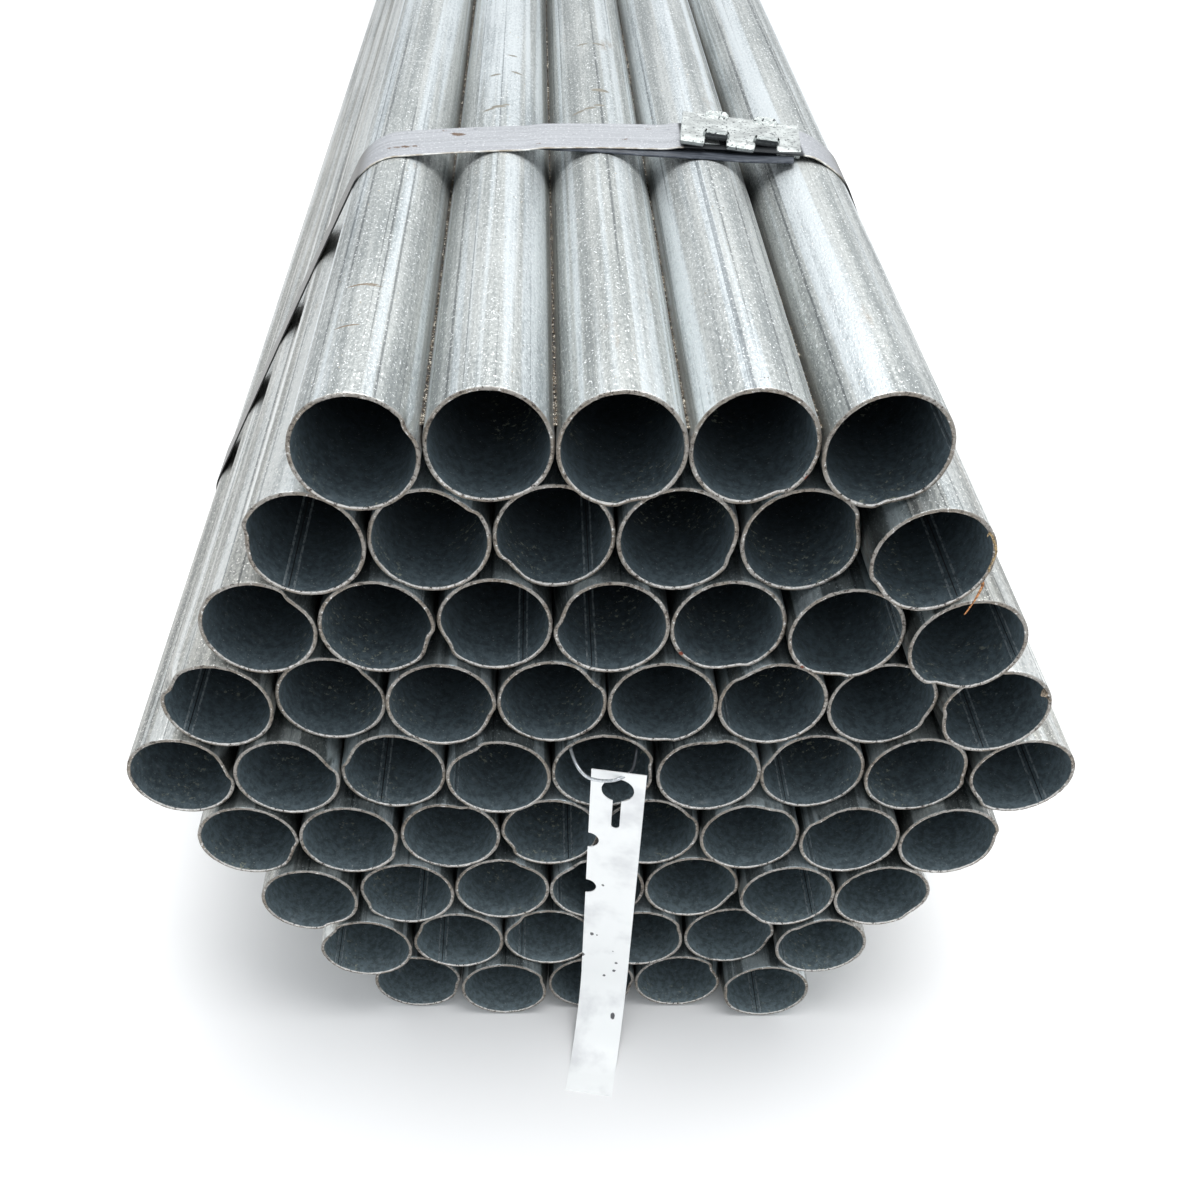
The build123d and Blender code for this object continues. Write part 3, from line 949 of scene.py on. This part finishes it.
class PIPES_OT_straps(bpy.types.Operator):
    """Build the three flat steel straps with their loose tails and notched seals"""

    bl_idname = "pipe_bundle.straps"
    bl_label = "Build Straps"

    def execute(self, context):
        sizes = context.scene.pipe_sizes
        straps = context.scene.strap_sizes
        colours = context.scene.pipe_colours
        band = [strap_material(colours), edge_material(), tail_material()]
        sleeve = [seal_material()]
        for number, share in STRAP_SLIPS.items():
            low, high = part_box(f"strap_seal_{number}")
            middle = (low + high) / 2
            half = (high.x - low.x) / 2
            bm = bmesh.new()
            rows = []
            for x, z in strap_route(sizes, straps, middle.x, half):
                y = middle.y + share * strap_bow(straps, x, z)
                rows.append([Vector((x, y + side * straps.width / 2, z)) for side in (-1, -0.5, 0, 0.5, 1)])
            sheet(bm, rows, straps.thickness, closed=True)
            self.tail(bm, sizes, straps, middle, half)
            finished(bm, f"strap_{number}_band", band, [f"strap_{number}"])
            bm = bmesh.new()
            self.seal(bm, straps, half, number)
            turn = Matrix.Rotation(straps.seal_dip, 4, "Y")
            turn @= Matrix.Rotation(-straps.seal_turn * (1 if number == 1 else 0.2 * number), 4, "Z")
            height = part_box(f"strap_seal_{number}")[0].z + straps.seal_steel + straps.thickness + 0.2 * MM
            place = (middle.x + straps.seal_slip, middle.y + share * straps.seal_shift, height)
            bm.transform(Matrix.Translation(place) @ turn)
            finished(bm, f"strap_{number}_seal", sleeve, [f"strap_seal_{number}"])
        return {"FINISHED"}

    def tail(self, bm, sizes, straps, middle, half):
        """The loose end that lies askew under the strap and the seal, its tip bent up."""
        start = middle.x - half - straps.tail_lead
        end = middle.x + half - straps.tail_rest
        centre = Vector(((start + end) / 2, middle.y - straps.tail_shift, 0))
        ahead = Vector((math.cos(straps.tail_turn), -math.sin(straps.tail_turn), 0))
        side = Vector((math.sin(straps.tail_turn), math.cos(straps.tail_turn), 0))
        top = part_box("pipes_row_1")[1].z + straps.clearance
        rows = []
        for step in range(TAIL_STEPS + 1):
            off = (end - start) * (step / TAIL_STEPS - 0.5)
            droop = -0.7 * MM * smooth_step(off, 0.30 * (end - start), 0.50 * (end - start))
            sag = 0.15 * MM * (1 - math.cos(2 * math.pi * (centre.x + off) / sizes.pitch))
            rows.append([
                centre + ahead * off + side * (share * straps.width / 2) + Vector((0, 0, top - droop - sag))
                for share in (-1, -0.4, 0.4, 1)
            ])
        sheet(bm, rows, straps.thickness, slots=(TAIL, TAIL))

    def seal(self, bm, straps, half, number):
        """A folded sleeve, its middle on the origin, with four notches whose tabs stand up."""
        steel = straps.seal_steel
        rise = straps.thickness + 0.1 * MM
        reach = straps.seal_width / 2 - steel
        hinge = straps.seal_width / 2 - straps.notch_depth
        rounding = 0.5 * MM
        lumpy = 0.12 * MM

        def plate(begin, finish, path, pinched=0.0, thickness=steel):
            """A sheet along the seal that follows a path across it, narrower where its shares say."""
            rows = []
            for step in range(9):
                along = begin + (finish - begin) * step / 8
                row = []
                for share, (across, height) in path:
                    pinch = pinched * share * (1 - 2 * step / 8)
                    bump = lumpy * noise.noise(Vector((along * 300, across * 300, number)))
                    row.append(Vector((along + pinch, across, height + bump)))
                rows.append(row)
            sheet(bm, rows, thickness, slots=(0, 0))

        shares = (-1, -0.6, -0.2, 0.2, 0.6, 1)
        crown = [(0, (hinge * share, rise + 0.25 * MM * (1 - share * share))) for share in shares]
        plate(-half, half, crown)
        plate(-half, half, [(0, (hinge * share, -rise - steel)) for share in (-1, 0, 1)])
        fold = (
            (1.0, (reach - 2.4 * MM, -rise - 0.1 * MM)), (0.8, (reach - 0.9 * MM, -rise + 0.1 * MM)),
            (0.5, (reach - 0.1 * MM, -rise + 0.8 * MM)), (0.3, (reach, 0.2 * MM)),
            (0.15, (reach - 0.35 * MM, rise - 0.4 * MM)), (0.05, (reach - 1.1 * MM, rise + 0.2 * MM)),
            (0.0, (reach - 2.1 * MM, rise + 0.5 * MM)), (0.0, (hinge + 1.3 * MM, rise + 0.42 * MM)),
            (0.0, (hinge, rise)),
        )
        notch, spacing = straps.notch / 2, straps.notch_spacing / 2
        lugs = ((-half, -spacing - notch), (-spacing + notch, spacing - notch), (spacing + notch, half))
        for lug in lugs:
            plate(*lug, [(share, (-across, height)) for share, (across, height) in fold], rounding)
            plate(*lug, fold[::-1], rounding)
        for side, lean, length, layers, pinch in ((-1, 62, 3.7, 2.4, 0.4), (1, 50, 4.0, 1.0, 1.3)):
            lean = math.radians(lean)
            tab = [(0.0, (side * hinge, rise))]
            for share in (0.25, 0.5, 0.75, 0.93, 1.0):
                turn = lean * min(1.0, 0.5 + share)
                out, up = share * length * MM * math.cos(turn), share * length * MM * math.sin(turn)
                tab.append((max(0.0, share - 0.7) / 0.3, (side * (hinge + out), rise + up)))
            for middle in (-spacing, spacing):
                plate(middle - notch, middle + notch, tab[::side], pinch * MM, layers * steel)


class PIPES_OT_litter(bpy.types.Operator):
    """Lay sand in the furrows between the top pipes, and a straw, a curl of bark and leaf bits on the rims"""

    bl_idname = "pipe_bundle.litter"
    bl_label = "Scatter Litter"

    def execute(self, context):
        sizes = context.scene.pipe_sizes
        low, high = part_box("pipes_row_1")
        outer = sizes.outside / 2
        axis = high.z - outer
        chance = random.Random(5)
        bm = bmesh.new()
        for furrow in range(4):
            x = (furrow - 1.5) * sizes.pitch
            self.bed(bm, sizes, x, low.y, axis, furrow)
            for _ in range(FURROW_GRAINS):
                y = low.y + GRAIN_START + 0.9 * chance.random() ** 1.6
                size = chance.uniform(0.16, 0.30 + 0.32 * chance.random() ** 3) * MM
                rise = self.bed_height(y, furrow) + chance.uniform(-0.1, 0.5) * MM
                room = sizes.pitch / 2 - math.sqrt(outer ** 2 - rise ** 2)
                place = Vector((x + chance.uniform(-room, room), y, axis + rise))
                self.grain(bm, chance, place, size, TAN_GRIT if chance.random() < 0.6 else PALE_GRIT)
        for _ in range(DUST_GRAINS):
            pipe = chance.randrange(5)
            angle = math.radians(chance.gauss(90, 30))
            size = chance.uniform(0.12, 0.32) * MM
            reach = outer + 0.4 * size
            x = (pipe - 2) * sizes.pitch + reach * math.cos(angle)
            y = low.y + GRAIN_START + 0.6 * chance.random() ** 1.3
            self.grain(bm, chance, Vector((x, y, axis + reach * math.sin(angle))), size, PALE_GRIT)
        self.slivers(bm, sizes, low, axis)
        materials = [
            litter_material("tan_grit", (0.25, 0.20, 0.145)),
            litter_material("pale_grit", (0.84, 0.78, 0.66)),
            litter_material("dry_straw", (0.62, 0.27, 0.10)),
            litter_material("bark_curl", (0.50, 0.36, 0.18)),
            # Painted shade: the sand bed deep in the furrows is near-black
            litter_material("silt_and_shade", (0.022, 0.02, 0.018)),
        ]
        finished(bm, "litter", materials, [])
        return {"FINISHED"}

    def bed_height(self, y, furrow):
        """How high the sand stands above the pipes' axes: banked up in places, washed down in others."""
        bank = noise.noise(Vector((y * 9, 3.1 * furrow, 0.5)))
        bank += 0.35 * noise.noise(Vector((y * 70, furrow, 4.0)))
        return (2.8 + 2.0 * smooth_step(-y, 1.22, 1.40) + 2.2 * bank) * MM

    def bed(self, bm, sizes, x, start, axis, furrow):
        """A rough strip of sand low in a furrow, near-black as painted shade deep between the pipes."""
        outer = sizes.outside / 2
        rows = []
        for step in range(BED_STEPS):
            y = start + BED_START + BED_STEP * step
            rise = max(1.0 * MM, self.bed_height(y, furrow))
            room = sizes.pitch / 2 - math.sqrt(outer ** 2 - rise ** 2) + 0.1 * MM
            rough = 0.25 * MM * noise.noise(Vector((y * 400, furrow, 9.0)))
            rows.append([Vector((x + share * room, y, axis + rise + rough)) for share in (-1, 0, 1)])
        sheet(bm, rows, 0.2 * MM, slots=(SILT_AND_SHADE, SILT_AND_SHADE))

    def grain(self, bm, chance, place, size, slot):
        """An angular grain with eight faces."""
        ends = []
        for direction in ((1, 0, 0), (0, 1, 0), (-1, 0, 0), (0, -1, 0), (0, 0, 1), (0, 0, -1)):
            corner = Vector(direction) + Vector([chance.uniform(-0.35, 0.35) for _ in range(3)])
            ends.append(bm.verts.new(place + corner * size * chance.uniform(0.8, 1.3)))
        for first in range(4):
            second = (first + 1) % 4
            for corners in ((ends[first], ends[second], ends[4]), (ends[second], ends[first], ends[5])):
                bm.faces.new(corners).material_index = slot

    def slivers(self, bm, sizes, low, axis):
        """A straw, a curl of bark, two leaf bits and a flake, each a thin curved strip."""
        rise = sizes.pitch * math.sqrt(3) / 2
        end = low.y
        straw = ((144.0, -2.5, -8.8), (143.1, -6.7, -10.9), (141.2, -8.4, -16.0), (137.7, -11.2, -21.3))
        curl = (
            (139.4, -5.6, 11.6), (138.9, -6.6, 14.2), (140.6, -6.8, 12.5), (142.8, -6.7, 8.3),
            (144.1, -6.6, 5.3), (143.8, -6.8, 1.5), (143.3, -6.7, -1.4), (143.9, -6.0, -4.2),
        )
        for slot, width, steps, route in ((STRAW, 1.5, 13, straw), (CURL, 0.9, 29, curl)):
            rows = []
            points = [Vector((x * MM, end + y * MM, axis - rise + z * MM)) for x, y, z in route]
            for step in range(steps):
                share = step / (steps - 1) * (len(points) - 1)
                number = min(len(points) - 2, int(share))
                spot = points[number].lerp(points[number + 1], share - number)
                taper = 0.35 + 0.65 * math.sin(math.pi * (0.12 + 0.76 * step / (steps - 1)))
                wave = math.sin(1.9 * step) if slot == CURL else 0.0
                half = Vector((0.8, 0.25 + 0.4 * wave, 0.4)).normalized() * width * MM * taper / 2
                rows.append([spot - half, spot, spot + half])
            sheet(bm, rows, 0.25 * MM, slots=(slot, slot))
        bits = (
            ((187.5, -2.0, -71.8), 2.6, 0.7),
            ((190.4, -1.0, -76.0), 2.2, 2.0),
            ((25.0, 133.0, 44.6), 2.4, 0.3),
        )
        for (x, y, z), size, turn in bits:
            spot = Vector((x * MM, end + y * MM, axis - rise + z * MM))
            lean = Matrix.Rotation(turn, 3, "Z") @ Matrix.Rotation(0.8, 3, "X")
            rows = []
            for step in range(6):
                spread = 0.7 * size * MM * math.sin(math.pi * (0.1 + 0.8 * step / 5))
                row = []
                for share in (-1, -0.3, 0.4, 1):
                    ragged = 1 + 0.35 * noise.noise(Vector((step * 1.7, share * 2.3, size)))
                    along = (step / 5 - 0.5) * 2 * size * MM
                    curled = 0.5 * MM * share * share
                    row.append(spot + lean @ Vector((along, share * spread * ragged, curled)))
                rows.append(row)
            sheet(bm, rows, 0.2 * MM, slots=(TAN_GRIT, TAN_GRIT))


class PIPES_OT_tag(bpy.types.Operator):
    """Bend the spring wire round through the keyhole, and give the white tag that hangs on it its material"""

    bl_idname = "pipe_bundle.tag"
    bl_label = "Hang Tag"

    def execute(self, context):
        low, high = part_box("pipes_row_5")
        front = low.y + 1.0 * MM
        axis = (low.z + high.z) / 2
        spots = [Vector((x * MM, front + y * MM, axis + z * MM)) for x, y, z in WIRE_ROUTE]
        route = []
        for number in range(len(spots) - 1):
            before, after = spots[max(0, number - 1)], spots[min(len(spots) - 1, number + 2)]
            start, end = spots[number], spots[number + 1]
            for step in range(9):
                t = step / 9
                route.append(0.5 * (
                    2 * start + (end - before) * t + (2 * before - 5 * start + 4 * end - after) * t ** 2
                    + (3 * start - before - 3 * end + after) * t ** 3
                ))
        route.append(spots[-1])
        bm = bmesh.new()
        self.rod(bm, route, 0.8 * MM)
        finished(bm, "tag_spring_wire", [wire_material()], ["tag_wire"])
        dress("tag", tag_material(context.scene.pipe_colours))
        return {"FINISHED"}

    def rod(self, bm, route, radius, sides=12):
        """A round rod along a smooth route."""
        rings = []
        side = Vector((0, 0, 1))
        for number, spot in enumerate(route):
            ahead = (route[min(number + 1, len(route) - 1)] - route[max(number - 1, 0)]).normalized()
            side = (side - ahead * side.dot(ahead)).normalized()
            across = ahead.cross(side)
            rings.append([
                bm.verts.new(spot + radius * (math.cos(turn) * side + math.sin(turn) * across))
                for turn in (2 * math.pi * step / sides for step in range(sides))
            ])
        for first, second in zip(rings, rings[1:]):
            for step in range(sides):
                after = (step + 1) % sides
                face = bm.faces.new((first[step], first[after], second[after], second[step]))
                face.smooth = True
        bm.faces.new(rings[0])
        bm.faces.new(rings[-1])
        bmesh.ops.recalc_face_normals(bm, faces=bm.faces)


class PIPES_OT_stage(bpy.types.Operator):
    """Set the camera, the pale floor and the soft lights"""

    bl_idname = "pipe_bundle.stage"
    bl_label = "Set Stage"

    def execute(self, context):
        settings = context.scene.pipe_stage
        self.floor(settings)
        self.camera(context, settings)
        self.lights(context, settings)
        return {"FINISHED"}

    def floor(self, settings):
        bm = bmesh.new()
        bmesh.ops.create_grid(bm, x_segments=1, y_segments=1, size=FLOOR_REACH)
        floor = placed(bm, "floor", [floor_material(settings.floor)])

    def camera(self, context, settings):
        data = bpy.data.cameras.new("camera")
        data.sensor_width = 36.0
        data.lens = settings.lens
        data.shift_x = settings.shift_x
        data.shift_y = settings.shift_y
        data.clip_start = 0.01
        data.clip_end = 100
        camera = bpy.data.objects.new("camera", data)
        context.scene.collection.objects.link(camera)
        pitch, yaw, roll = settings.pitch, settings.yaw, settings.roll
        ahead = Vector((math.sin(yaw) * math.cos(pitch), math.cos(yaw) * math.cos(pitch), -math.sin(pitch)))
        right = Vector((math.cos(yaw), -math.sin(yaw), 0))
        above = right.cross(ahead)
        turned = Matrix((
            math.cos(roll) * right + math.sin(roll) * above,
            -math.sin(roll) * right + math.cos(roll) * above,
            -ahead,
        )).transposed()
        camera.matrix_world = Matrix.Translation(settings.camera_place) @ turned.to_4x4()
        context.scene.camera = camera

    def lights(self, context, settings):
        middle = Vector((0, -1.3, 0.2))
        for name, place, size, power in (
            ("overhead_softbox", (0.25, -0.95, 2.8), 2.4, settings.key),
            ("front_fill", (0.9, -4.2, 1.3), 2.2, settings.fill),
        ):
            data = bpy.data.lights.new(name, "AREA")
            data.shape = "SQUARE"
            data.size = size
            data.energy = power
            light = bpy.data.objects.new(name, data)
            context.scene.collection.objects.link(light)
            aim = (middle - Vector(place)).to_track_quat("-Z", "Y")
            light.matrix_world = Matrix.Translation(place) @ aim.to_matrix().to_4x4()
        world = bpy.data.worlds.new("pale_sky")
        world.use_nodes = True
        background = world.node_tree.nodes["Background"]
        background.inputs["Color"].default_value = (0.92, 0.96, 1.0, 1.0)
        background.inputs["Strength"].default_value = settings.sky
        context.scene.world = world
        context.scene.view_settings.view_transform = "Standard"


class PIPES_PT_panel(bpy.types.Panel):
    """Sizes, colours and build steps of the pipe bundle"""

    bl_idname = "PIPES_PT_panel"
    bl_label = "Pipe Bundle"
    bl_space_type = "VIEW_3D"
    bl_region_type = "UI"
    bl_category = "Pipe Bundle"

    def draw(self, context):
        layout = self.layout
        scene = context.scene
        for settings in SETTINGS:
            box = layout.box()
            group = getattr(scene, settings)
            for name in group.__annotations__:
                box.prop(group, name)
        for operator in OPERATORS:
            layout.operator(operator.bl_idname)


OPERATORS = (PIPES_OT_pipes, PIPES_OT_straps, PIPES_OT_tag, PIPES_OT_litter, PIPES_OT_stage)
SETTINGS = {
    "pipe_sizes": PipeSizes,
    "strap_sizes": StrapSizes,
    "pipe_colours": FinishColours,
    "pipe_stage": StageSettings,
}
CLASSES = (*SETTINGS.values(), *OPERATORS, PIPES_PT_panel)


def register():
    for item in CLASSES:
        bpy.utils.register_class(item)
    for name, group in SETTINGS.items():
        setattr(bpy.types.Scene, name, PointerProperty(type=group))


def unregister():
    for name in SETTINGS:
        delattr(bpy.types.Scene, name)
    for item in reversed(CLASSES):
        bpy.utils.unregister_class(item)


def main():
    register()
    bpy.ops.pipe_bundle.pipes()
    bpy.ops.pipe_bundle.straps()
    bpy.ops.pipe_bundle.tag()
    bpy.ops.pipe_bundle.litter()
    bpy.ops.pipe_bundle.stage()


if __name__ == "__main__":
    main()
